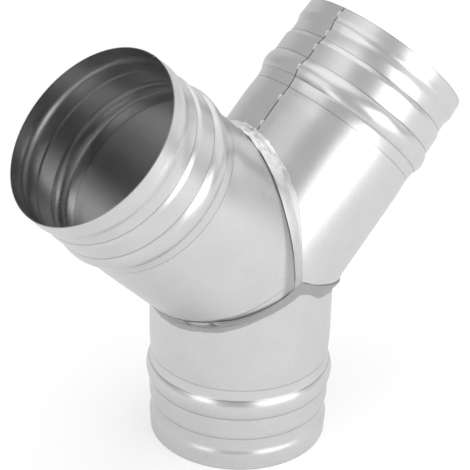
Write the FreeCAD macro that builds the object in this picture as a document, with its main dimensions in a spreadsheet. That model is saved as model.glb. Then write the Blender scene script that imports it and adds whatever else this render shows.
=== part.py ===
# Duct Y branch in thin sheet: one trunk that divides into two branches of the same bore.
#
# Three rolled tubes of one radius meet at the branch point, where their axes cross. Each pair of
# tubes meets in a flat mitre through that point, and a flattened lock seam holds the two sheets
# there: one sheet jogs out, runs over the mitre and is folded back under itself, and the edge of
# the other sheet is folded out and hooked into that fold. Every layer of a seam lies on a tube's
# own cylinder, one sheet further out than the layer below it.
#
# Millimetres. +Z is up along the trunk, which stands on its rim at z = 0, and the branches lean
# towards -X and +X. Pieces are built round the branch point and lifted by the trunk's length.

import FreeCAD, Part
import os
import Sketcher

SIZES = {
    # Tubes
    "tube_radius": 75,  # outside of the plain tube, made for a duct of 150 mm bore
    "sheet_thickness": 0.6,
    "branch_angle": 45,  # from the trunk's axis to each branch's, in degrees
    "trunk_length": 159,  # from the branch point to the rim
    "branch_length": 202.5,
    # Rolled end of each tube, from the plain tube out to the rim
    "neck_shoulder": 2,
    "neck_drop": 1,  # how far the neck lies under the plain tube
    "neck_width": 7,
    "stop_bead_width": 18.5,
    "stop_bead_height": 2.6,  # over the plain tube, where the mating duct stops
    "band_width": 18,
    "groove_shoulder": 2.5,
    "groove_depth": 2,  # seat of a sealing ring
    "groove_width": 10,
    "rib_width": 9,
    "rib_drop": 0.25,  # how far the rib's crest stays under the band
    "lip_drop": 0.5,  # lead-in at the rim
    "lip_length": 10,
    # Lock seams
    "fold_gap": 0.06,  # air between the layers of a seam
    "seam_jog": 3,  # from the mitre back to where the outer sheet jogs out
    "seam_reach": 9.5,  # from the mitre to the folded edge over the inner sheet
    # Spot-welded lap along each tube, with its edge let in flush
    "lap_width": 11,
    "lap_joggle": 2,
    "lap_slit": 0.4,
    "lap_closed": 3,  # stretch beside a lock seam where the slit is closed
    "lap_turn": 5.3,  # from the crotch line of a branch towards the front, in degrees
    "trunk_lap_turn": 90,  # to the back of the trunk, in degrees
}

X_AXIS = FreeCAD.Vector(1, 0, 0)
Y_AXIS = FreeCAD.Vector(0, 1, 0)
Z_AXIS = FreeCAD.Vector(0, 0, 1)
ORIGIN = FreeCAD.Vector(0, 0, 0)

RADIUS = "Size.tube_radius"
SHEET = "Size.sheet_thickness"
GAP = "Size.fold_gap"
REACH = "(2 * Size.trunk_length + 2 * Size.branch_length)"  # past everything, for half-spaces

LEFT = -1
RIGHT = 1
TRUNK_TILT = "180"  # turn about Y that lays +Z along a tube's axis
CROTCH_TILT = "-90"  # turn about Y that lays +Z from the crotch mitre into the left branch

doc = FreeCAD.newDocument("duct_y_branch")
size = doc.addObject("Spreadsheet::Sheet", "Size")
for row, (alias, value) in enumerate(SIZES.items(), start=1):
    size.set(f"A{row}", alias)
    size.set(f"B{row}", str(value))
    size.setAlias(f"B{row}", alias)
doc.recompute()


# Small helpers for bound objects


def bind(item, **expressions):
    """Binds properties of an object to expressions of the sheet's sizes."""
    for prop, expression in expressions.items():
        item.setExpression(prop.replace("__", "."), expression)
    return item


def tilt(item, angle, along="0", across="0"):
    """Turns an object about the Y line through the branch point and shifts it in its own X and Z."""
    item.Placement = FreeCAD.Placement(ORIGIN, FreeCAD.Rotation(Y_AXIS, 1))
    return bind(
        item,
        Placement__Rotation__Angle=angle,
        Placement__Base__x=f"({across}) * cos({angle}) + ({along}) * sin({angle})",
        Placement__Base__z=f"({along}) * cos({angle}) - ({across}) * sin({angle})",
    )


def cylinder(name, angle, radius):
    item = doc.addObject("Part::Cylinder", name)
    bind(item, Radius=radius, Height=REACH)
    return tilt(item, angle, along=f"-{REACH} / 2")


def slab(name, angle, low, high):
    """All the space between two planes that lie low and high of the branch point, once tilted."""
    item = doc.addObject("Part::Box", name)
    bind(item, Length=REACH, Width=REACH, Height=f"{high} - ({low})")
    tilt(item, angle, along=low, across=f"-{REACH} / 2")
    return bind(item, Placement__Base__y=f"-{REACH} / 2")


def cut(name, base, tool):
    item = doc.addObject("Part::Cut", name)
    item.Base = base
    item.Tool = tool
    return item


def common(name, shapes):
    item = doc.addObject("Part::MultiCommon", name)
    item.Shapes = shapes
    return item


def fuse(name, shapes):
    item = doc.addObject("Part::MultiFuse", name)
    item.Shapes = shapes
    item.Refine = True
    return item


# Rolled tubes


def sheet_line(name, length):
    """Sketch of the sheet's outer face in half a lengthwise section: radius across, axis up."""
    radius_at = {
        "plain": RADIUS,
        "neck": f"{RADIUS} - Size.neck_drop",
        "stop": f"{RADIUS} + Size.stop_bead_height",
        "groove": f"{RADIUS} - Size.groove_depth",
        "rib": f"{RADIUS} - Size.rib_drop",
        "lip": f"{RADIUS} - Size.lip_drop",
    }
    # Each stretch towards the rim: its length, the radius where it ends, and its crest if it bulges
    stretches = (
        ("neck_shoulder", "neck", None),
        ("neck_width", "neck", None),
        ("stop_bead_width", "plain", "stop"),
        ("band_width", "plain", None),
        ("groove_shoulder", "groove", None),
        ("groove_width", "groove", None),
        ("rib_width", "lip", "rib"),
        ("lip_length", "lip", None),
    )
    sketch = doc.addObject("Sketcher::SketchObject", name)
    sketch.Placement = FreeCAD.Placement(ORIGIN, FreeCAD.Rotation(X_AXIS, 90))
    origin = (-1, 1)
    cross_axis = -1

    def measure(expression):
        return float(sketch.evalExpression(expression))

    def dimension(kind, start, end, expression):
        index = sketch.addConstraint(Sketcher.Constraint(kind, *start, *end, measure(expression)))
        sketch.setExpression(f"Constraints[{index}]", expression)

    rim_height = f"Size.{length}"
    rolled = " - ".join(f"Size.{span}" for span, _, _ in stretches)
    here = FreeCAD.Vector(measure(RADIUS), measure(f"{rim_height} - {rolled}"), 0)
    line = sketch.addGeometry(Part.LineSegment(FreeCAD.Vector(here.x, 0, 0), here))
    sketch.addConstraint(Sketcher.Constraint("PointOnObject", line, 1, cross_axis))
    sketch.addConstraint(Sketcher.Constraint("Vertical", line))
    dimension("DistanceX", origin, (line, 2), RADIUS)
    last = line
    for span, radius, crest in stretches:
        step = FreeCAD.Vector(measure(radius_at[radius]) - here.x, measure(f"Size.{span}"), 0)
        end = here + step
        if crest:
            top = FreeCAD.Vector(measure(radius_at[crest]), here.y + step.y / 2, 0)
            line = sketch.addGeometry(Part.Arc(here, top, end))
            point = sketch.addGeometry(Part.Point(top), True)
            sketch.addConstraint(Sketcher.Constraint("PointOnObject", point, 1, line))
            dimension("DistanceX", origin, (point, 1), radius_at[crest])
            dimension("DistanceY", (last, 2), (point, 1), f"Size.{span} / 2")
        else:
            line = sketch.addGeometry(Part.LineSegment(here, end))
        sketch.addConstraint(Sketcher.Constraint("Coincident", last, 2, line, 1))
        dimension("DistanceX", origin, (line, 2), radius_at[radius])
        dimension("DistanceY", (line, 1), (line, 2), f"Size.{span}")
        last = line
        here = end
    dimension("DistanceY", origin, (last, 2), rim_height)
    return sketch


def section(name, line, depth):
    """The strip between the sheet's outer face and a line that depth inside it."""
    item = doc.addObject("Part::Offset2D", name)
    item.Source = line
    item.Mode = "Skin"
    item.Join = "Intersection"
    item.Fill = True
    return bind(item, Value=depth)


def revolve(name, profile, angle):
    item = doc.addObject("Part::Revolution", name)
    item.Source = profile
    item.Axis = Z_AXIS
    item.Base = ORIGIN
    item.Solid = True
    return bind(item, Angle=angle)


def arc_angle(length):
    """Angle in degrees that a length takes up round the tube."""
    return f"({length}) / {RADIUS} * 180 / pi"


def rolled_tube(name, length, angle, lap_turn, seam_height):
    """A tube rolled from one sheet, with its beads and its flush lap, out along its tilted axis.

    seam_height is how far out from the branch point a lock seam reaches where it crosses the lap.
    """
    line = sheet_line(name + "_line", length)
    wall = section(name + "_section", line, SHEET)
    double_wall = section(name + "_lap_section", line, f"2 * {SHEET}")
    round_wall = revolve(name + "_round_wall", wall, "360")
    lap = revolve(name + "_lap", double_wall, arc_angle("Size.lap_joggle + Size.lap_width"))
    bind(lap, Placement__Rotation__Angle=f"{lap_turn} - {arc_angle('Size.lap_joggle')}")
    edge = revolve(name + "_lap_edge", wall, arc_angle("Size.lap_slit"))
    bind(edge, Placement__Rotation__Angle=lap_turn)
    open_length = slab(name + "_open_length", "0", f"{seam_height} + Size.lap_closed", REACH)
    slit = common(name + "_slit", [edge, open_length])
    rolled = fuse(name + "_rolled", [round_wall, lap])
    return tilt(cut(name + "_tube", rolled, slit), angle)


# Layers of the lock seams


def layer_floor(layer):
    """How far over the tube's outside a layer of the seam begins: layer 0 is the tube's wall."""
    return f"({layer - 1} * {SHEET} + {layer} * {GAP})"


def layer_roof(layer):
    return f"({layer} * {SHEET} + {layer} * {GAP})"


def strip(name, tube_side, layers, mitre, span):
    """Sheet on one tube, from the first to the last of its layers, between planes along a mitre."""
    tube, bounds = tube_side
    outside = cylinder(name + "_outside", tube, f"{RADIUS} + {layer_roof(layers[1])}")
    inside = cylinder(name + "_inside", tube, f"{RADIUS} + {layer_floor(layers[0])}")
    shell = cut(name + "_shell", outside, inside)
    return common(name, [shell, slab(name + "_span", mitre, *span), *bounds])


def outer_hook(name, mitre, below, above):
    """The sheet that jogs out below the mitre, runs over it and returns under its own edge.

    below and above are the tilt of the tube on each side of the mitre and what bounds the seam there.
    """
    start = "-Size.seam_jog"
    end = "Size.seam_reach"
    inner_end = f"{start} + 2 * {SHEET} + 2 * {GAP}"
    return [
        strip(name + "_jog", below, (0, 3), mitre, (start, f"{start} + {SHEET}")),
        strip(name + "_top_below", below, (3, 3), mitre, (start, "0")),
        strip(name + "_top_above", above, (3, 3), mitre, ("0", end)),
        strip(name + "_fold", above, (1, 3), mitre, (f"{end} - {SHEET}", end)),
        strip(name + "_return_above", above, (1, 1), mitre, ("0", end)),
        strip(name + "_return_below", below, (1, 1), mitre, (inner_end, "0")),
    ]


def inner_hook(name, mitre, below, above):
    """The sheet that runs on under the outer hook, folds out beside its jog and hooks into it."""
    start = f"-Size.seam_jog + {SHEET} + {GAP}"
    end = f"Size.seam_reach - {SHEET} - {GAP}"
    return [
        strip(name + "_run", below, (0, 0), mitre, (start, "0")),
        strip(name + "_fold", below, (0, 2), mitre, (start, f"{start} + {SHEET}")),
        strip(name + "_hook_below", below, (2, 2), mitre, (start, "0")),
        strip(name + "_hook_above", above, (2, 2), mitre, ("0", end)),
    ]


# The three pieces


def branch_tilt(side):
    return f"{side} * Size.branch_angle"


def mitre_tilt(side):
    return f"{side} * Size.branch_angle / 2"


def side_of_crotch(name, side, edge):
    """The space on one side of the crotch mitre, from an edge out."""
    return slab(name, f"{side} * 90", edge, REACH)


def crotch_side(name, side):
    """One side of the crotch seam, which ends where it meets the trunk's seam."""
    clear = slab(name, mitre_tilt(side), f"Size.seam_reach + {GAP}", REACH)
    return branch_tilt(side), [clear]


def lifted(item, label):
    """A finished piece, raised from the branch point to stand on the trunk's rim."""
    item.Label = label
    return bind(item, Placement__Base__z="Size.trunk_length")


def trunk():
    turn = "Size.trunk_lap_turn"
    mitre_height = f"{RADIUS} * abs(cos({turn})) * tan(Size.branch_angle / 2)"
    seam_height = f"{mitre_height} + Size.seam_jog / cos(Size.branch_angle / 2)"
    tube = rolled_tube("trunk", "trunk_length", TRUNK_TILT, turn, seam_height)
    below_seams = []
    hooks = []
    for side, word in ((LEFT, "left"), (RIGHT, "right")):
        mitre = mitre_tilt(side)
        below_seams.append(slab(f"trunk_below_{word}_seam", mitre, f"-{REACH}", "-Size.seam_jog"))
        half = [side_of_crotch(f"trunk_{word}_half", side, "0")]
        hooks += outer_hook(f"trunk_{word}", mitre, (TRUNK_TILT, half), (branch_tilt(side), half))
    wall = common("trunk_wall", [tube, *below_seams])
    return lifted(fuse("trunk_piece", [wall, *hooks]), "trunk")


def branch(word, side, lap_turn, crotch_edge, crotch_overlap):
    """What is alike in the two branches: the tube, and its hook into the trunk's seam.

    crotch_edge is where the wall ends beside the crotch mitre, and crotch_overlap how far the
    crotch seam reaches over it.
    """
    mitre_height = f"{RADIUS} / tan(Size.branch_angle)"
    seam_height = f"{mitre_height} + {crotch_overlap} / sin(Size.branch_angle)"
    tube = rolled_tube(word, "branch_length", branch_tilt(side), lap_turn, seam_height)
    half = side_of_crotch(f"{word}_half", side, crotch_edge)
    mitre = mitre_tilt(side)
    wall = common(f"{word}_wall", [tube, slab(f"{word}_above_mitre", mitre, "0", REACH), half])
    hook = inner_hook(f"{word}_hook", mitre, (TRUNK_TILT, [half]), (branch_tilt(side), [half]))
    return [wall, *hook]


def left_branch():
    parts = branch("left", LEFT, "-Size.lap_turn", "0", "Size.seam_reach")
    below = crotch_side("inner_right_side", RIGHT)
    above = crotch_side("inner_left_side", LEFT)
    parts += inner_hook("crotch_inner", CROTCH_TILT, below, above)
    return lifted(fuse("left_piece", parts), "left_branch")


def right_branch():
    parts = branch("right", RIGHT, "180 + Size.lap_turn", "Size.seam_jog", "Size.seam_jog")
    below = crotch_side("outer_right_side", RIGHT)
    above = crotch_side("outer_left_side", LEFT)
    parts += outer_hook("crotch_outer", CROTCH_TILT, below, above)
    return lifted(fuse("right_piece", parts), "right_branch")


pieces = [trunk(), left_branch(), right_branch()]
doc.recompute()

for item in doc.Objects:
    if "Invalid" in item.State or "Error" in item.State:
        raise RuntimeError(f"{item.Name} failed: {item.State}")
for piece in pieces:
    if piece.Shape.isNull() or not piece.Shape.isValid():
        raise RuntimeError(f"{piece.Label} has no valid shape")
    if len(piece.Shape.Solids) != 1:
        raise RuntimeError(f"{piece.Label} is {len(piece.Shape.Solids)} solids and not one")

os.makedirs("parts", exist_ok=True)
for piece in pieces:
    piece.Shape.exportStep(f"parts/{piece.Label}.step")
    print(piece.Label, round(piece.Shape.Volume), "mm3", piece.Shape.BoundBox)
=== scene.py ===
import math

import bpy
from mathutils import Matrix, Vector, noise


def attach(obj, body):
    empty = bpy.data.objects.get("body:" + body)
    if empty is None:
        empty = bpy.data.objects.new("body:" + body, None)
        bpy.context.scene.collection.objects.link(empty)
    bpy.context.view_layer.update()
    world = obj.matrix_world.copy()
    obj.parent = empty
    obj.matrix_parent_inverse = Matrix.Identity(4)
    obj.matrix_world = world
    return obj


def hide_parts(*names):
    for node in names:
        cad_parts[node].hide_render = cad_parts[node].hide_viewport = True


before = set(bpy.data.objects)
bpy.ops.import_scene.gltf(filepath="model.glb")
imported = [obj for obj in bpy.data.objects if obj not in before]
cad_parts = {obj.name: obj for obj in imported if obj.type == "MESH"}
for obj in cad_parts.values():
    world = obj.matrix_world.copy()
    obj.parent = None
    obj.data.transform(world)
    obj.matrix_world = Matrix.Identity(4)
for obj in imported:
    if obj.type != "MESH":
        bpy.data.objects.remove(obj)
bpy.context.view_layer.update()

MM = 0.001

# Tubes, as in the part's source
RADIUS = 75 * MM
SHEET = 0.6 * MM
TRUNK_LENGTH = 159 * MM
BRANCH_LENGTH = 202.5 * MM
BRANCH_POINT = Vector((0, 0, TRUNK_LENGTH))
TRUNK_TILT = math.radians(180)
LEFT_TILT = math.radians(-45)
RIGHT_TILT = math.radians(45)
HALF_ANGLE = math.radians(22.5)

# Planes of the mitres through the branch point, each facing from the outer sheet to the inner one
MITRE_LEFT = Vector((-math.sin(HALF_ANGLE), 0, math.cos(HALF_ANGLE)))
MITRE_RIGHT = Vector((math.sin(HALF_ANGLE), 0, math.cos(HALF_ANGLE)))
CROTCH = Vector((-1, 0, 0))

# Meshes
SIDES = 288  # facets round a tube
BELOW_MITRE = -45 * MM  # where a tube starts before it is cut off along its mitre
STRIP_END = 2 * RADIUS  # how far a strip of tube runs each way before it is cut off
CUT_LIMIT = 1e-6  # a point that is nearer to a cut lies on it, in metres
MERGE_LIMIT = 0.02 * MM  # points that are nearer to each other become one
SMOOTH_ANGLE = math.radians(38)  # a sharper bend shows its edge
CREASE_ANGLE = math.radians(12)  # a sharper bend of a rolled end is rounded
CREASE_ROUND = 0.9 * MM
CREASE_SEGMENTS = 3

# Lap seams that close the rolled tubes, in millimetres; turns are round a tube's axis
LAP_TURN = {"trunk": math.radians(90), "left": math.radians(-5.3), "right": math.radians(185.3)}
LAP_HALF = 5  # half the width of the strip that is scored for the lap
LAP_FLAT = 6  # the last of the sheet beside the slit, which the rolls leave flat
SLIT_HALF = 0.4
SLIT_FLOOR = 0.4  # share of the slit's half width that is full depth
SLIT_DEPTH = 1.1
SLIT_SCORES = (-2, -1, -0.5, 0, 0.5, 1, 2)  # in half widths of the slit
WELD_PLACES = (6.5, 24, 38.5, 59, 87, 112)  # from the rim
LAP_WELDS = {"trunk": WELD_PLACES, "left": (), "right": WELD_PLACES}
WELD_HALF = 2.6  # half the length that a weld closes the slit over
WELD_ENDS = (0.8 * WELD_HALF, 1.2 * WELD_HALF)  # where the slit opens again
WELD_RISE = 0.95
WELD_BESIDE = 1.6  # from the slit to the middle of a weld
WELD_ACROSS = (0.1, 1.1)  # from the middle of a weld to where its dome falls
WELD_ALONG = (0.9, 2.6)
WELD_SCORES = (-3.2, -2.4, -1.8, -1.2)  # beside the slit
WELD_STEPS = 7  # scores to each side of a weld, along the tube
WELD_PARTS = 5  # of them within its half length

# Lock seams, measured square to the mitre, in millimetres
BAND_REACH = 9.5  # plain distance from the mitre to the free edge of an outer sheet
BAND_SLOPE = ((0, 0), (6, 1.5), (13, 2.9))  # distance behind its start, and rise
FREE_EDGE_GAP = 0.2  # from an outer sheet that is dressed down to the inner one
FREE_EDGE_CURL = 1.4  # how far from its free edge it comes down
FLANGE_FOOT = (1, 5)  # where the inner sheet comes out from under the outer one
FLANGE_FALL = 1.0  # of the inner sheet to its crease
FLANGE_FADE = 9  # from the middle of a branch to where its flange is full
CRIMP_HALF = 2.2  # half the width of a dent
CRIMP_FLOOR = 0.5  # half the width of its floor
CRIMP_FOOT = (1, 3)  # where a dent starts
CROTCH_EDGE_RISE = 0.65
CROTCH_FALL = 0.2  # of the crotch band for each millimetre towards its free edge
CROTCH_STEP = 1.1  # width of the step up to the crotch band
CROTCH_TUCKED = 0.35  # share of its height that the crotch band keeps under the trunk's bands
CROTCH_CLEAR = (5, 13)  # from under the trunk's bands to where the crotch band is full
CROTCH_FOOT = 2  # from the left mitre to where the crotch band starts
BRIDGE = 0.85  # how far the crotch band is drawn straight across the valley between the branches

# Unevenness of handwork: (size of the lumps, amount), in millimetres
START_LUMPS = ((5, 0.45), (14, 0.5))
REACH_LUMPS = ((9, 0.25),)
HAMMER_LUMPS = ((7, 0.5), (15, 0.6))
HAMMER_LEAST = 0.25  # share of the hammer marks at the bottom of the crotch band
HAMMER_FULL = (70, 105)  # height over which they come up to full strength

# Hand-dressed shape of the seams, as seen at the front: (place along it, distance from the mitre)
LEFT_START = ((-75, -4.8), (-56, -5.2), (-44, -4.1), (-36, -3.0), (0, -2.0))
LEFT_REACH = ((-82, 11.3), (-77, 9.0), (-63, 8.1), (-55, 6.3), (-20, 6.6), (0, 8.6))
LEFT_FLANGE = ((-75, 11.5), (-50, 11.3), (-38, 13.2), (-19, 15.3), (0, 15.5))
LEFT_LEAN = ((-75, 0.35), (-58, 1), (-16, 1), (0, 0.55))  # place and part of the full slope
LEFT_TURN_OUT = -0.5  # rise of the inner sheet
LEFT_CRIMPS = (-28.5, -46.7)  # dents across the band, by their Y from the branch point
RIGHT_START = ((0, -2.0), (7, -1.3), (15, -3.1), (21, -4.3), (27, -4.2), (36, -2.6), (75, -2.2))
RIGHT_REACH = ((0, 8.6), (12, 7.8), (38, 7.6), (75, 8.2))
RIGHT_FLANGE = ((0, 13.0), (14, 12.5), (33, 11.8), (75, 12))
RIGHT_LEAN = ((0, 0.55), (16, 1), (55, 1), (75, 0.35))
RIGHT_TURN_OUT = 0.6
RIGHT_CRIMPS = ()
CROTCH_START = ((0, -0.6), (14, -0.8), (40, -2.2), (64, -5.2), (82, -5.4), (110, -4.5))
CROTCH_REACH = ((0, 6.4), (20, 6.6), (40, 7.2), (60, 8.8), (80, 9.8), (110, 10.2))

# Painted shade and painted highlight on the sheets, for the material, in millimetres
MARK_EDGE = 0.8  # from the start of a band to where its mark is full
CRIMP_SHADE = 0.55  # how dark the painted shade in a dent is
CROTCH_HIGHLIGHT = (85, 102)  # height over which the painted highlight on the crotch band comes up
CROTCH_SHADE = 0.6  # how strong the painted shade is at the bottom
CROTCH_SHADE_TOP = (70, 90)  # height over which that ends
SHADE_BESIDE_CROTCH = ((0, 14), (25, 13), (50, 9), (80, 4.5), (105, 3.5))  # height, and width of the painted shade beside the crotch band
SHADE_BESIDE_FULL = 0.5  # share of that width that is full


# Small helpers for modelling


def select_only(obj):
    bpy.ops.object.select_all(action="DESELECT")
    obj.select_set(True)
    bpy.context.view_layer.objects.active = obj


def edit_all(obj):
    """Opens a piece in edit mode with all of it selected."""
    select_only(obj)
    bpy.ops.object.mode_set(mode="EDIT")
    bpy.ops.mesh.select_all(action="SELECT")


def close_edit():
    bpy.ops.object.mode_set(mode="OBJECT")


def trim(obj, point, normal):
    """Cuts away all that lies on the side of a plane that its normal points to."""
    edit_all(obj)
    bpy.ops.mesh.bisect(plane_co=point, plane_no=normal, clear_outer=True, threshold=CUT_LIMIT)
    close_edit()


def cut_line(point, normal):
    """Adds an edge where a plane crosses what is open in edit mode."""
    bpy.ops.mesh.select_all(action="SELECT")
    bpy.ops.mesh.bisect(plane_co=point, plane_no=normal, threshold=CUT_LIMIT)


def score(obj, normal, distances):
    """Adds edges where planes at these distances from the branch point cross a piece."""
    edit_all(obj)
    for distance in distances:
        cut_line(BRANCH_POINT + normal * distance, normal)
    close_edit()


def apply_modifier(obj, name, kind, **settings):
    modifier = obj.modifiers.new(name, kind)
    for setting, value in settings.items():
        setattr(modifier, setting, value)
    select_only(obj)
    bpy.ops.object.modifier_apply(modifier=name)


def join(name, pieces):
    """Makes one piece of several and merges the edges where they meet."""
    select_only(pieces[0])
    for piece in pieces:
        piece.select_set(True)
    bpy.ops.object.join()
    obj = bpy.context.object
    obj.name = name
    edit_all(obj)
    bpy.ops.mesh.remove_doubles(threshold=MERGE_LIMIT)
    bpy.ops.mesh.normals_make_consistent(inside=False)
    close_edit()
    return obj


def smoothstep(low, high, value):
    t = min(max((value - low) / (high - low), 0), 1)
    return t * t * (3 - 2 * t)


def axis_of(tilt):
    return Vector((math.sin(tilt), 0, math.cos(tilt)))


def across(tilt):
    """The direction square to a tube's axis in the plane of the three axes."""
    return Vector((math.cos(tilt), 0, -math.sin(tilt)))


def from_branch_point(place):
    """A place as a point in millimetres from the branch point."""
    return (place - BRANCH_POINT) / MM


def mark(obj, name, amount):
    """Keeps a value from 0 to 1 for each point of a piece, for its material."""
    if name not in obj.data.attributes:
        obj.data.attributes.new(name, "FLOAT", "POINT")
    values = obj.data.attributes[name].data
    for vert in obj.data.vertices:
        values[vert.index].value = amount(vert.co)


# Zinc-coated sheet steel
STEEL_GREY = 0.71
STEEL_ROUGHNESS = 0.29
CLOUD_SCALE = 40
CLOUD_GREY = 0.08
CLOUD_ROUGHNESS = 0.08
SPECK_SCALE = 900
SPECK_GREY = 0.11
GRAIN_SCALE = (1100, 45, 1)  # round the tube, along it and out of it
GRAIN_GREY = 0.025
GRAIN_ROUGHNESS = 0.03
WAVE_SCALE = 15
WAVE_HEIGHT = 0.5 * MM
PAINTED_SHADE_GREY = -0.25  # change where painted shade darkens a seam band, the bottom of the crotch band and the left branch beside it
SHADED_ROUGHNESS = 0.15
PAINTED_HIGHLIGHT_GREY = 0.15  # change where a painted highlight brightens the top of the crotch band
HIGHLIT_ROUGHNESS = -0.03
GAP_SHADE_GREY = 0.06  # painted shade in the slit between two sheets and in the dents
INSIDE_SHADE_SHARE = 0.88  # of the outside's grey that the inside keeps, as painted shade
CUT_GREY = 0.42
CUT_ROUGHNESS = 0.4
BURR_SCALE = 400
BURR_GREY = 0.15

# Painted shade in the rolled creases and at the rim: distance from the rim and half width in
# millimetres, and strength
CREASES = ((76.3, 0.7, 0.8), (66.8, 0.8, 0.7), (49.3, 0.9, 0.9), (29.3, 0.8, 0.9), (0, 0.8, 1.0))
CREASE_SHADE_GREY = -0.3  # painted shade in the strongest
CREASE_CORE = 0.2  # share of a crease's width that is full strength


def shader_group(name, inputs, outputs):
    """An empty shader node group with its sockets; gives the tree and its two end nodes."""
    tree = bpy.data.node_groups.new(name, "ShaderNodeTree")
    for socket, kind in inputs:
        tree.interface.new_socket(name=socket, in_out="INPUT", socket_type=kind)
    for socket, kind in outputs:
        tree.interface.new_socket(name=socket, in_out="OUTPUT", socket_type=kind)
    return tree, tree.nodes.new("NodeGroupInput"), tree.nodes.new("NodeGroupOutput")


def calculate(tree, operation, *values):
    """The result of a math node on values that are numbers or sockets."""
    node = tree.nodes.new("ShaderNodeMath")
    node.operation = operation
    for socket, value in zip(node.inputs, values):
        if isinstance(value, (int, float)):
            socket.default_value = value
        else:
            tree.links.new(value, socket)
    return node.outputs[0]


def add_scaled(tree, base, value, amount):
    """base + value * amount, where base is a number or a socket."""
    return calculate(tree, "MULTIPLY_ADD", value, amount, base)


def centred_noise(tree, vector, scale, detail):
    """Noise from about -0.5 to 0.5."""
    texture = tree.nodes.new("ShaderNodeTexNoise")
    texture.inputs["Scale"].default_value = scale
    texture.inputs["Detail"].default_value = detail
    tree.links.new(vector, texture.inputs["Vector"])
    return calculate(tree, "SUBTRACT", texture.outputs[0], 0.5)


def sheet_finish():
    """Rolled zinc finish: cloudy patches, fine grain along the sheet and not quite flat."""
    tree, group_in, group_out = shader_group(
        "sheet_finish",
        (("Place", "NodeSocketVector"), ("Sheet", "NodeSocketVector")),
        (("Grey", "NodeSocketFloat"), ("Roughness", "NodeSocketFloat"), ("Relief", "NodeSocketFloat")),
    )
    place = group_in.outputs["Place"]
    stretch = tree.nodes.new("ShaderNodeMapping")
    stretch.inputs["Scale"].default_value = GRAIN_SCALE
    tree.links.new(group_in.outputs["Sheet"], stretch.inputs["Vector"])
    clouds = centred_noise(tree, place, CLOUD_SCALE, 4)
    specks = centred_noise(tree, place, SPECK_SCALE, 1)
    grain = centred_noise(tree, stretch.outputs["Vector"], 1, 2)
    waves = centred_noise(tree, place, WAVE_SCALE, 1)
    grey = add_scaled(tree, STEEL_GREY, clouds, CLOUD_GREY)
    grey = add_scaled(tree, grey, specks, SPECK_GREY)
    grey = add_scaled(tree, grey, grain, GRAIN_GREY)
    roughness = add_scaled(tree, STEEL_ROUGHNESS, clouds, CLOUD_ROUGHNESS)
    roughness = add_scaled(tree, roughness, grain, GRAIN_ROUGHNESS)
    tree.links.new(grey, group_out.inputs["Grey"])
    tree.links.new(roughness, group_out.inputs["Roughness"])
    tree.links.new(waves, group_out.inputs["Relief"])
    return tree


def rolled_crease_shade():
    """A mask of painted shade in the creases beside the beads and at the rim."""
    tree, group_in, group_out = shader_group(
        "rolled_crease_shade", (("Sheet", "NodeSocketVector"),), (("Crease", "NodeSocketFloat"),)
    )
    split = tree.nodes.new("ShaderNodeSeparateXYZ")
    tree.links.new(group_in.outputs["Sheet"], split.inputs[0])
    total = 0
    for place, half_width, strength in CREASES:
        off = calculate(tree, "SUBTRACT", split.outputs["Y"], place * MM)
        line = tree.nodes.new("ShaderNodeMapRange")
        line.interpolation_type = "SMOOTHSTEP"
        line.inputs["From Min"].default_value = half_width * MM
        line.inputs["From Max"].default_value = CREASE_CORE * half_width * MM
        tree.links.new(calculate(tree, "ABSOLUTE", off), line.inputs["Value"])
        total = add_scaled(tree, total, line.outputs[0], strength)
    tree.links.new(total, group_out.inputs["Crease"])
    return tree


SHEET_FINISH = sheet_finish()
ROLLED_CREASE_SHADE = rolled_crease_shade()


def new_material(name):
    """A material with its node tree and its shader."""
    material = bpy.data.materials.new(name)
    material.use_nodes = True
    return material, material.node_tree, material.node_tree.nodes["Principled BSDF"]


def place_group(tree, group):
    node = tree.nodes.new("ShaderNodeGroup")
    node.node_tree = group
    return node


def marked(tree, name):
    """The value that the points of a piece keep under a name."""
    node = tree.nodes.new("ShaderNodeAttribute")
    node.attribute_name = name
    return node.outputs["Fac"]


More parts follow.
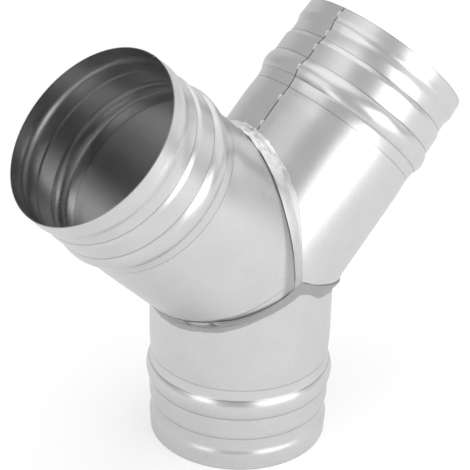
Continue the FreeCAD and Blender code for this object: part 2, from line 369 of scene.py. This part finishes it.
def sheet_steel(name, share):
    """Zinc-coated steel that keeps a share of its full grey; a share below 1 is painted shade."""
    material, tree, shader = new_material(name)
    shader.inputs["Metallic"].default_value = 1
    coordinates = tree.nodes.new("ShaderNodeTexCoord")
    sheet_map = tree.nodes.new("ShaderNodeUVMap")
    sheet_map.uv_map = "sheet"
    finish = place_group(tree, SHEET_FINISH)
    tree.links.new(coordinates.outputs["Object"], finish.inputs["Place"])
    tree.links.new(sheet_map.outputs["UV"], finish.inputs["Sheet"])
    crease_shade = place_group(tree, ROLLED_CREASE_SHADE)
    tree.links.new(sheet_map.outputs["UV"], crease_shade.inputs["Sheet"])

    # Painted shade on the marked bands, which are also rougher, a painted highlight on the top of the
    # crotch band, which is a little smoother, painted shade in the creases, and painted shade in the
    # gaps, where no light comes out
    shaded_and_rough = marked(tree, "shaded_and_rough")
    highlit_and_glossy = marked(tree, "highlit_and_glossy")
    grey = add_scaled(tree, finish.outputs["Grey"], shaded_and_rough, PAINTED_SHADE_GREY)
    grey = add_scaled(tree, grey, highlit_and_glossy, PAINTED_HIGHLIGHT_GREY)
    grey = add_scaled(tree, grey, crease_shade.outputs["Crease"], CREASE_SHADE_GREY)
    roughness = add_scaled(tree, finish.outputs["Roughness"], shaded_and_rough, SHADED_ROUGHNESS)
    roughness = add_scaled(tree, roughness, highlit_and_glossy, HIGHLIT_ROUGHNESS)
    in_gap = tree.nodes.new("ShaderNodeMix")
    in_gap.data_type = "FLOAT"
    tree.links.new(marked(tree, "gap_and_dent_shade"), in_gap.inputs["Factor"])
    tree.links.new(grey, in_gap.inputs["A"])
    in_gap.inputs["B"].default_value = GAP_SHADE_GREY
    shade = calculate(tree, "MULTIPLY", in_gap.outputs["Result"], share)
    tree.links.new(shade, shader.inputs["Base Color"])
    tree.links.new(roughness, shader.inputs["Roughness"])
    bump = tree.nodes.new("ShaderNodeBump")
    bump.inputs["Distance"].default_value = WAVE_HEIGHT
    tree.links.new(finish.outputs["Relief"], bump.inputs["Height"])
    tree.links.new(bump.outputs["Normal"], shader.inputs["Normal"])
    return material


def cut_edge():
    """Bare steel where the sheet was sheared, darker than its faces."""
    material, tree, shader = new_material("cut_edge")
    shader.inputs["Metallic"].default_value = 1
    shader.inputs["Roughness"].default_value = CUT_ROUGHNESS
    coordinates = tree.nodes.new("ShaderNodeTexCoord")
    burr = centred_noise(tree, coordinates.outputs["Object"], BURR_SCALE, 2)
    tree.links.new(add_scaled(tree, CUT_GREY, burr, BURR_GREY), shader.inputs["Base Color"])
    return material


STEEL = sheet_steel("sheet_steel", 1)
# The inside is a darker copy of the steel: painted shade.
INSIDE = sheet_steel("sheet_inside_shaded", INSIDE_SHADE_SHARE)
CUT_EDGE = cut_edge()
SHEET_MATERIALS = (STEEL, CUT_EDGE, INSIDE)  # outside, cut edges and inside of a sheet


# Rolled tubes


def bead(foot, end, height, count):
    """Points of a round bead between two sharp feet, given as distance from the rim and rise.

    The bead stands out by a height over the line between its feet.
    """
    half = abs(foot[0] - end[0]) / 2
    bow = (half ** 2 + height ** 2) / (2 * height)
    points = []
    for step in range(1, count):
        part = step / count
        over = math.sqrt(bow ** 2 - (half * (2 * part - 1)) ** 2) - (bow - height)
        distance = foot[0] + (end[0] - foot[0]) * part
        points.append((distance, foot[1] + (end[1] - foot[1]) * part + over))
    return points


def bend(start, end, count):
    """Points of a smooth change of rise from one place to another."""
    points = []
    for step in range(1, count + 1):
        part = step / count
        rise = start[1] + (end[1] - start[1]) * smoothstep(0, 1, part)
        points.append((start[0] + (end[0] - start[0]) * part, rise))
    return points


# Turning points of the rolled end: distance from the rim and rise over the plain tube, in millimetres
BEAD_FOOT = (67.5, -0.1)
BEAD_END = (49.5, 0)
BEAD_HEIGHT = 2.7
GROOVE_END = (20, -1.9)
RIB_TOP = (13, -0.05)
LIP_FOOT = (7, -0.55)
ROLLED_END = [
    (92, 0),
    (84, -0.35),
    (77, -0.9),
    (75.5, -0.9),
    BEAD_FOOT,
    *bead(BEAD_FOOT, BEAD_END, BEAD_HEIGHT, 16),
    BEAD_END,
    (33, 0),
    (29.4, -1.6),
    GROOVE_END,
    *bend(GROOVE_END, RIB_TOP, 7),
    *bend(RIB_TOP, LIP_FOOT, 4),
    (0, -0.9),
]


def new_ring(name, height):
    """A ring of the plain tube's size round the Z axis, which the rest of a sheet is extruded from."""
    bpy.ops.object.select_all(action="DESELECT")
    bpy.ops.mesh.primitive_circle_add(vertices=SIDES, radius=RADIUS, location=(0, 0, height))
    obj = bpy.context.object
    obj.name = name
    bpy.ops.object.transform_apply(location=True)
    return obj


def extrude_up(step):
    bpy.ops.mesh.extrude_edges_move(TRANSFORM_OT_translate={"value": (0, 0, step)})


def rolled_tube(name, length):
    """A tube along +Z from below the mitre to its rim, extruded ring by ring and softly creased."""
    obj = new_ring(name, BELOW_MITRE)
    edit_all(obj)
    height = BELOW_MITRE
    radius = RADIUS
    for distance, rise in ROLLED_END:
        step = length - distance * MM - height
        extrude_up(step)
        height += step
        scale = (RADIUS + rise * MM) / radius
        bpy.ops.transform.resize(value=(scale, scale, 1), center_override=(0, 0, height))
        radius *= scale
    close_edit()
    apply_modifier(
        obj,
        "crease",
        "BEVEL",
        width=CREASE_ROUND,
        segments=CREASE_SEGMENTS,
        limit_method="ANGLE",
        angle_limit=CREASE_ANGLE,
    )
    unroll(obj, length)
    return obj


def unroll(obj, length):
    """Gives a tube along +Z its map: round the tube and down from its rim, in metres of sheet."""
    sheet_map = obj.data.uv_layers.new(name="sheet")
    for face in obj.data.polygons:
        middle = math.atan2(face.center.y, face.center.x)
        for loop in face.loop_indices:
            place = obj.data.vertices[obj.data.loops[loop].vertex_index].co
            turn = math.atan2(place.y, place.x)
            turn += 2 * math.pi * round((middle - turn) / (2 * math.pi))
            sheet_map.data[loop].uv = (turn * RADIUS, length - place.z)


def lap(obj, length, turn, welds):
    """Dresses the lap of a tube along +Z: flat sheet edges, a slit between them, and spot welds."""
    middle = Vector((math.cos(turn), math.sin(turn), 0))
    beside = Vector((-math.sin(turn), math.cos(turn), 0))
    select_only(obj)
    for face in obj.data.polygons:
        near = abs(face.center.dot(beside)) < LAP_HALF * MM
        face.select = near and face.center.dot(middle) > 0
    bpy.ops.object.mode_set(mode="EDIT")
    bpy.ops.mesh.select_mode(type="FACE")
    bpy.ops.mesh.hide(unselected=True)
    for offset in (*WELD_SCORES, *(part * SLIT_HALF for part in SLIT_SCORES)):
        cut_line(beside * offset * MM, beside)
    for place in welds:
        for step in range(-WELD_STEPS, WELD_STEPS + 1):
            height = length - (place + step * WELD_HALF / WELD_PARTS) * MM
            cut_line((0, 0, height), (0, 0, 1))
    bpy.ops.mesh.reveal()
    close_edit()

    def from_lap(place):
        """Distance beside the slit and distance from the rim, in millimetres."""
        off = math.atan2(place.dot(beside), place.dot(middle)) * RADIUS
        return off / MM, (length - place.z) / MM

    # The slit is painted dark: painted shade between the sheets.
    mark(obj, "gap_and_dent_shade", lambda place: slit(*from_lap(place), welds))
    for vert in obj.data.vertices:
        out = Vector((vert.co.x, vert.co.y, 0)).normalized()
        vert.co += out * lap_rise(*from_lap(vert.co), welds) * MM


def slit(off, from_rim, welds):
    """How far a place is in the slit, from 0 to 1."""
    depth = 1 - smoothstep(SLIT_FLOOR * SLIT_HALF, SLIT_HALF, abs(off))
    for place in welds:
        depth *= smoothstep(*WELD_ENDS, abs(from_rim - place))
    return depth


def lap_rise(off, from_rim, welds):
    """Rise of the sheet at a distance from the lap's slit, in millimetres."""
    flat = max(LAP_FLAT - abs(off), 0) ** 2 / (2 * RADIUS / MM)
    dome = 0
    for place in welds:
        across_weld = 1 - smoothstep(*WELD_ACROSS, abs(off + WELD_BESIDE))
        along_weld = 1 - smoothstep(*WELD_ALONG, abs(from_rim - place))
        dome += across_weld * along_weld
    return flat - SLIT_DEPTH * slit(off, from_rim, welds) + WELD_RISE * dome


def lay_along(obj, tilt):
    """Turns a piece modelled along +Z to a tube's axis and takes it to the branch point."""
    obj.rotation_euler = (0, tilt, 0)
    obj.location = BRANCH_POINT
    select_only(obj)
    bpy.ops.object.transform_apply(location=True, rotation=True)


def tube_half(name, length, tilt, lap_word, half, mitre, scores):
    """Half of a rolled tube, towards one direction from its axis, cut off along a mitre."""
    obj = rolled_tube(name, length)
    if lap_word is not None:
        lap(obj, length, LAP_TURN[lap_word], LAP_WELDS[lap_word])
    lay_along(obj, tilt)
    trim(obj, BRANCH_POINT, -half)
    outward = mitre if axis_of(tilt).dot(mitre) > 0 else -mitre
    trim(obj, BRANCH_POINT, -outward)
    score(obj, mitre, scores)
    return obj


def seam_strip(name, tilt, mitre, bound, bound_normal):
    """A strip of plain tube from a mitre to the free edge, kept on one side of a plane."""
    obj = new_ring(name, -STRIP_END)
    edit_all(obj)
    extrude_up(2 * STRIP_END)
    close_edit()
    unroll(obj, BRANCH_LENGTH)
    lay_along(obj, tilt)
    trim(obj, BRANCH_POINT, -mitre)
    trim(obj, BRANCH_POINT + mitre * BAND_REACH * MM, mitre)
    trim(obj, bound, bound_normal)
    score(obj, mitre, BAND_SCORES)
    return obj


# Lock seams


def along_table(table, place):
    """The value at a place, on straight lines between the (place, value) pairs of a table."""
    if place <= table[0][0]:
        return table[0][1]
    for (place0, value0), (place1, value1) in zip(table, table[1:]):
        if place <= place1:
            return value0 + (value1 - value0) * (place - place0) / (place1 - place0)
    return table[-1][1]


def uneven(point, lumps):
    """A smooth random value for a point in millimetres."""
    return sum(amount * noise.noise(point / size) for size, amount in lumps)


def place_across(point):
    """Place along a trunk seam: the distance to the side of the branch point."""
    return point.x


def place_up(point):
    """Place along the crotch seam: the height over the branch point."""
    return point.z


class Seam:
    """A lock seam along a mitre, with the hand-dressed places of its start and its free edge."""

    def __init__(self, mitre, start, reach, place):
        self.mitre = mitre
        self.start_table = start
        self.reach_table = reach
        self.place = place

    def distance(self, point):
        return point.dot(self.mitre)

    def start(self, point):
        return along_table(self.start_table, self.place(point)) + uneven(point, START_LUMPS)

    def reach(self, point):
        return along_table(self.reach_table, self.place(point)) + uneven(point, REACH_LUMPS)

    def stretch(self, point, nominal):
        """Distance from the mitre of a point of the plain strip, once it ends at the free edge."""
        return nominal * self.reach(point) / BAND_REACH


class TrunkSeam(Seam):
    """A seam where a band of the trunk leans out over the flange of a branch."""

    def __init__(self, mitre, start, reach, flange, lean, turn_out, crimps):
        super().__init__(mitre, start, reach, place_across)
        self.flange_table = flange
        self.lean_table = lean
        self.turn_out = turn_out
        self.crimps = crimps

    def crimp(self, point, distance):
        """How far the band is pressed down by a dent, from 0 to 1."""
        off = min((abs(point.y - place) for place in self.crimps), default=CRIMP_HALF)
        return (1 - smoothstep(CRIMP_FLOOR, CRIMP_HALF, off)) * smoothstep(*CRIMP_FOOT, distance)

    def band_rise(self, point, distance, nominal):
        """Height of the outer sheet, which leans out and is pressed down at its free edge."""
        lean = along_table(self.lean_table, self.place(point))
        rise = lean * along_table(BAND_SLOPE, distance - self.start(point))
        edge = smoothstep(BAND_REACH - FREE_EDGE_CURL, BAND_REACH, nominal)
        closed = self.turn_out + SHEET / MM + FREE_EDGE_GAP
        return rise + (min(closed, rise) - rise) * max(edge, self.crimp(point, distance))

    def flange_rise(self, point):
        """Height of the inner sheet, which is pressed in or turned out up to its own crease."""
        distance = self.distance(point)
        top = along_table(self.flange_table, self.place(point))
        fall = 1 - smoothstep(top - FLANGE_FALL, top, distance)
        return self.turn_out * smoothstep(*FLANGE_FOOT, distance) * fall


LEFT_SEAM = TrunkSeam(
    MITRE_LEFT, LEFT_START, LEFT_REACH, LEFT_FLANGE, LEFT_LEAN, LEFT_TURN_OUT, LEFT_CRIMPS
)
RIGHT_SEAM = TrunkSeam(
    MITRE_RIGHT, RIGHT_START, RIGHT_REACH, RIGHT_FLANGE, RIGHT_LEAN, RIGHT_TURN_OUT, RIGHT_CRIMPS
)
CROTCH_SEAM = Seam(CROTCH, CROTCH_START, CROTCH_REACH, place_up)


def reshape(obj, tilt, mitre, place, rise):
    """Moves a sheet along its tube to place(point, nominal) and out by rise(point, distance, nominal).

    Distances are from the mitre, and the sheet moves out along the planes of the mitre. Millimetres.
    """
    axis = axis_of(tilt)
    lean = axis.dot(mitre)
    for vert in obj.data.vertices:
        point = from_branch_point(vert.co)
        nominal = point.dot(mitre)
        distance = place(point, nominal)
        point += axis * ((distance - nominal) / lean)
        lift = rise(point, distance, nominal)
        centre = axis * (distance / lean)
        point = centre + (point - centre) * (1 + lift * MM / RADIUS)
        vert.co = BRANCH_POINT + point * MM


def stay(point, nominal):
    return nominal


def tuck(point):
    """How far the crotch band has come out from under the trunk's bands, from 0 to 1."""
    above = min(LEFT_SEAM.distance(point), RIGHT_SEAM.distance(point))
    return smoothstep(*CROTCH_CLEAR, above)


def hammered(point):
    """Hammer marks on the crotch band, strongest where it runs over the top."""
    strength = HAMMER_LEAST + (1 - HAMMER_LEAST) * smoothstep(*HAMMER_FULL, point.z)
    return strength * uneven(point, HAMMER_LUMPS)


def bridge(point, distance):
    """Height of the crotch band over the valley between the branches, which is steepest at the top."""
    steep = max(point.z, 0) * MM / (2 * RADIUS)
    start = CROTCH_SEAM.start(point)
    reach = CROTCH_SEAM.reach(point)
    if not start < distance < reach:
        return 0
    chord = -start + (reach + start) * (distance - start) / (reach - start)
    return BRIDGE * steep * (chord - abs(distance))


def crotch_band(point, distance, nominal):
    """Height of the crotch band, which steps up from the right branch and falls to its free edge."""
    start = CROTCH_SEAM.start(point)
    reach = CROTCH_SEAM.reach(point)
    on_band = smoothstep(start, start + CROTCH_STEP, distance)
    rise = CROTCH_EDGE_RISE + CROTCH_FALL * max(reach - distance, 0) + hammered(point)
    shown = CROTCH_TUCKED + (1 - CROTCH_TUCKED) * tuck(point)
    return (rise * on_band + bridge(point, distance)) * shown


def left_rise(point, distance, nominal):
    """The left branch: its flange under the trunk's band."""
    fade = smoothstep(0, FLANGE_FADE, -point.dot(across(LEFT_TILT)))
    return LEFT_SEAM.flange_rise(point) * fade


def right_rise(point, distance, nominal):
    """The right branch: flange under the trunk's band, and the start of the crotch band."""
    fade = smoothstep(0, FLANGE_FADE, point.dot(across(RIGHT_TILT)))
    from_mitre = CROTCH_SEAM.distance(point)
    return max(RIGHT_SEAM.flange_rise(point) * fade, crotch_band(point, from_mitre, from_mitre))


# Painted shade and painted highlight on the sheets


def mark_band(obj, name, seam, share):
    """Marks the band of a seam on a sheet, with a share for each point."""

    def on_band(place):
        point = from_branch_point(place)
        return share(point) * smoothstep(0, MARK_EDGE, seam.distance(point) - seam.start(point))

    mark(obj, name, on_band)


def mark_trunk_band(obj, seam):
    """Marks a trunk band all along with painted shade and a rougher finish."""
    mark_band(obj, "shaded_and_rough", seam, lambda point: 1)


def mark_crimps(obj, seam):
    """Marks the dents of a trunk band with painted shade."""

    def in_dent(place):
        point = from_branch_point(place)
        return CRIMP_SHADE * seam.crimp(point, seam.distance(point))

    mark(obj, "gap_and_dent_shade", in_dent)


def mark_crotch_band(obj):
    """Marks the crotch band with a painted highlight at the top and painted shade at the bottom."""

    def highlit_top(point):
        return smoothstep(*CROTCH_HIGHLIGHT, point.z)

    def shaded_bottom(point):
        return CROTCH_SHADE * (1 - smoothstep(*CROTCH_SHADE_TOP, point.z))

    mark_band(obj, "highlit_and_glossy", CROTCH_SEAM, highlit_top)
    mark_band(obj, "shaded_and_rough", CROTCH_SEAM, shaded_bottom)


def mark_beside_crotch(obj):
    """Marks the left branch beside the crotch band's free edge with painted shade and a rougher
    finish.
    """

    def beside(place):
        point = from_branch_point(place)
        width = along_table(SHADE_BESIDE_CROTCH, point.z)
        past_edge = CROTCH_SEAM.distance(point) - CROTCH_SEAM.reach(point)
        return 1 - smoothstep(SHADE_BESIDE_FULL * width, width, past_edge)

    mark(obj, "shaded_and_rough", beside)


# Sheets of the three tubes


def steps(first, last, count):
    """Distances in metres, evenly from one to another that are given in millimetres."""
    return [(first + (last - first) * step / count) * MM for step in range(count + 1)]


def minus(values):
    return [-value for value in values]


# Where the sheets are scored, as distances from a mitre
BAND_SCORES = steps(0.6, 8.4, 13) + steps(8.8, 9.4, 3)
BEFORE_BAND_SCORES = minus(steps(10, 34, 4) + steps(0.4, 7.2, 17))
FLANGE_SCORES = steps(1, 9, 4) + steps(9.6, 16.4, 17) + steps(22, 34, 2)
BESIDE_CROTCH_SCORES = steps(4, 22, 24)


def finished_sheet(name, pieces):
    """Makes one sheet of its pieces and gives it its thickness, cut edges and inside."""
    obj = join(name, pieces)
    obj.data.materials.clear()
    for material in SHEET_MATERIALS:
        obj.data.materials.append(material)
    apply_modifier(
        obj,
        "thickness",
        "SOLIDIFY",
        thickness=SHEET,
        offset=-1,
        material_offset_rim=SHEET_MATERIALS.index(CUT_EDGE),
        material_offset=SHEET_MATERIALS.index(INSIDE),
    )
    select_only(obj)
    bpy.ops.object.shade_smooth_by_angle(angle=SMOOTH_ANGLE)
    return obj


def trunk_sheet():
    """The trunk: each half of it runs up to one branch and lies over that branch with its band."""
    pieces = []
    for word, seam, tilt, half in (
        ("left", LEFT_SEAM, LEFT_TILT, Vector((-1, 0, 0))),
        ("right", RIGHT_SEAM, RIGHT_TILT, Vector((1, 0, 0))),
    ):
        wall = tube_half(
            f"trunk_{word}", TRUNK_LENGTH, TRUNK_TILT, "trunk", half, seam.mitre, BEFORE_BAND_SCORES
        )
        reshape(wall, TRUNK_TILT, seam.mitre, stay, seam.band_rise)
        mark_trunk_band(wall, seam)
        over = seam_strip(f"over_{word}", tilt, seam.mitre, BRANCH_POINT, -half)
        reshape(over, tilt, seam.mitre, seam.stretch, seam.band_rise)
        mark_trunk_band(over, seam)
        mark_crimps(over, seam)
        pieces += [wall, over]
    return finished_sheet("trunk_sheet", pieces)


def branch_halves(word, tilt, seam, crotch_scores, rise):
    """The halves of a branch: the lower runs down to the trunk, the upper to the other branch.

    Both are scored along both mitres, so that they meet point by point.
    """
    outer = across(tilt) * (-1 if tilt < 0 else 1)
    lower = tube_half(f"{word}_lower", BRANCH_LENGTH, tilt, None, outer, seam.mitre, FLANGE_SCORES)
    score(lower, CROTCH, crotch_scores)
    reshape(lower, tilt, seam.mitre, stay, rise)
    upper = tube_half(f"{word}_upper", BRANCH_LENGTH, tilt, word, -outer, CROTCH, crotch_scores)
    score(upper, seam.mitre, FLANGE_SCORES)
    reshape(upper, tilt, CROTCH, stay, rise)
    return lower, upper


def left_sheet():
    """The left branch, which lies under the bands of the trunk and of the right branch."""
    lower, upper = branch_halves("left", LEFT_TILT, LEFT_SEAM, BESIDE_CROTCH_SCORES, left_rise)
    mark_beside_crotch(upper)
    mark_beside_crotch(lower)
    return finished_sheet("left_branch_sheet", [lower, upper])


def right_sheet():
    """The right branch, which lies over the left one with the crotch band."""
    foot = BRANCH_POINT + MITRE_LEFT * CROTCH_FOOT * MM
    over = seam_strip("over_crotch", LEFT_TILT, CROTCH, foot, -MITRE_LEFT)
    score(over, MITRE_RIGHT, FLANGE_SCORES)
    reshape(over, LEFT_TILT, CROTCH, CROTCH_SEAM.stretch, crotch_band)
    mark_crotch_band(over)
    lower, upper = branch_halves("right", RIGHT_TILT, RIGHT_SEAM, BEFORE_BAND_SCORES, right_rise)
    mark_crotch_band(upper)
    return finished_sheet("right_branch_sheet", [lower, upper, over])


trunk = trunk_sheet()
left = left_sheet()
right = right_sheet()

for piece, node in ((trunk, "trunk"), (left, "left_branch"), (right, "right_branch")):
    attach(piece, "root")
    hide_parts(node)


def way_to(azimuth, elevation):
    """The direction from the object to what stands at these angles, in degrees."""
    azimuth = math.radians(azimuth)
    elevation = math.radians(elevation)
    return Vector(
        (
            math.sin(azimuth) * math.cos(elevation),
            -math.cos(azimuth) * math.cos(elevation),
            math.sin(elevation),
        )
    )


# Camera, fitted to the photograph
AZIMUTH = -38.4
ELEVATION = 27.69
ROLL = math.radians(1.487)
DISTANCE = 17.202 * RADIUS
FOCAL_PIXELS = 1588.06
IMAGE_PIXELS = 470
BRANCH_POINT_PIXEL = (241.68, 255.54)
SENSOR_WIDTH = 36
FAR_END = 20  # of what the camera sees, in metres

back = way_to(AZIMUTH, ELEVATION)
flat_right = way_to(AZIMUTH + 90, 0)
flat_up = back.cross(flat_right)
right_way = math.cos(ROLL) * flat_right + math.sin(ROLL) * flat_up
up_way = -math.sin(ROLL) * flat_right + math.cos(ROLL) * flat_up
seen_x = (BRANCH_POINT_PIXEL[0] - IMAGE_PIXELS / 2) * DISTANCE / FOCAL_PIXELS
seen_y = -(BRANCH_POINT_PIXEL[1] - IMAGE_PIXELS / 2) * DISTANCE / FOCAL_PIXELS
eye = BRANCH_POINT - seen_x * right_way - seen_y * up_way + DISTANCE * back
camera_data = bpy.data.cameras.new("camera")
camera_data.sensor_width = SENSOR_WIDTH
camera_data.lens = FOCAL_PIXELS * SENSOR_WIDTH / IMAGE_PIXELS
camera_data.clip_end = FAR_END
camera = bpy.data.objects.new("camera", camera_data)
camera.matrix_world = Matrix(
    (
        (right_way.x, up_way.x, back.x, eye.x),
        (right_way.y, up_way.y, back.y, eye.y),
        (right_way.z, up_way.z, back.z, eye.z),
        (0, 0, 0, 1),
    )
)
bpy.context.scene.collection.objects.link(camera)
bpy.context.scene.camera = camera

# Stage and light, in metres
LOOK_AT = Vector((0, 0, 0.19))  # middle of the object
STAGE_GREY = 0.8
STAGE_ROUGHNESS = 0.9
SEEN_LIFT = 0.4  # brings the lit stage to white in the picture
METAL_LIFT = 0.22  # and lifts it in the metal
FLOOR_SIZE = (14, 14)
BACKDROP_SIZE = (5, 3)
BACKDROP_AZIMUTH = 141
BACKDROP_DISTANCE = 3.2
WORLD_GLOW = 0.53

# Azimuth and elevation in degrees, distance, width and height in metres, and glow of the face
SOFTBOXES = (
    ("key_softbox", 9, 14, 2.2, 2.05, 1.4, 1.5),
    ("left_softbox", -92, 32, 2.2, 1.6, 1.6, 0.64),
    ("low_left_softbox", -78, 8, 2.2, 1.0, 0.75, 1.25),
    ("right_softbox", 72, 30, 2.4, 1.8, 2.3, 0.45),
    ("far_right_softbox", 112, 30, 2.6, 1.6, 2.0, 0.46),
    ("overhead_softbox", -20, 88, 2.0, 1.9, 1.9, 0.68),
)


def stage_paint():
    """Matt white paint that is lifted where the camera or the metal looks at it."""
    material, tree, shader = new_material("stage_paint")
    shader.inputs["Base Color"].default_value = (STAGE_GREY, STAGE_GREY, STAGE_GREY, 1)
    shader.inputs["Roughness"].default_value = STAGE_ROUGHNESS
    shader.inputs["Specular IOR Level"].default_value = 0
    path = tree.nodes.new("ShaderNodeLightPath")
    in_metal = calculate(
        tree, "MAXIMUM", path.outputs["Is Glossy Ray"], path.outputs["Is Transmission Ray"]
    )
    in_picture = calculate(tree, "MULTIPLY", path.outputs["Is Camera Ray"], SEEN_LIFT)
    shader.inputs["Emission Color"].default_value = (1, 1, 1, 1)
    lift = add_scaled(tree, in_picture, in_metal, METAL_LIFT)
    tree.links.new(lift, shader.inputs["Emission Strength"])
    return material


def stage_plane(name, size, place, turn, material):
    bpy.ops.object.select_all(action="DESELECT")
    bpy.ops.mesh.primitive_plane_add(size=1, location=place, rotation=turn)
    obj = bpy.context.object
    obj.name = name
    obj.scale = (size[0], size[1], 1)
    bpy.ops.object.transform_apply(location=False, rotation=False, scale=True)
    obj.data.materials.append(material)


def softbox(name, azimuth, elevation, distance, width, height, glow):
    """A soft lamp that faces the object; glow is how bright its face is seen."""
    way = way_to(azimuth, elevation)
    lamp = bpy.data.lights.new(name, "AREA")
    lamp.shape = "RECTANGLE"
    lamp.size = width
    lamp.size_y = height
    lamp.energy = glow * math.pi * width * height
    obj = bpy.data.objects.new(name, lamp)
    obj.location = LOOK_AT + way * distance
    obj.rotation_euler = way.to_track_quat("Z", "Y").to_euler()
    bpy.context.scene.collection.objects.link(obj)


STAGE_PAINT = stage_paint()
stage_plane("floor", FLOOR_SIZE, (0, 0, 0), (0, 0, 0), STAGE_PAINT)
backdrop_place = way_to(BACKDROP_AZIMUTH, 0) * BACKDROP_DISTANCE + Vector((0, 0, BACKDROP_SIZE[1] / 2))
backdrop_turn = (math.radians(90), 0, math.radians(BACKDROP_AZIMUTH))
stage_plane("backdrop", BACKDROP_SIZE, backdrop_place, backdrop_turn, STAGE_PAINT)
for row in SOFTBOXES:
    softbox(*row)

world = bpy.data.worlds.new("studio")
world.use_nodes = True
background = world.node_tree.nodes["Background"]
background.inputs["Color"].default_value = (1, 1, 1, 1)
background.inputs["Strength"].default_value = WORLD_GLOW
bpy.context.scene.world = world
bpy.context.scene.view_settings.view_transform = "Standard"
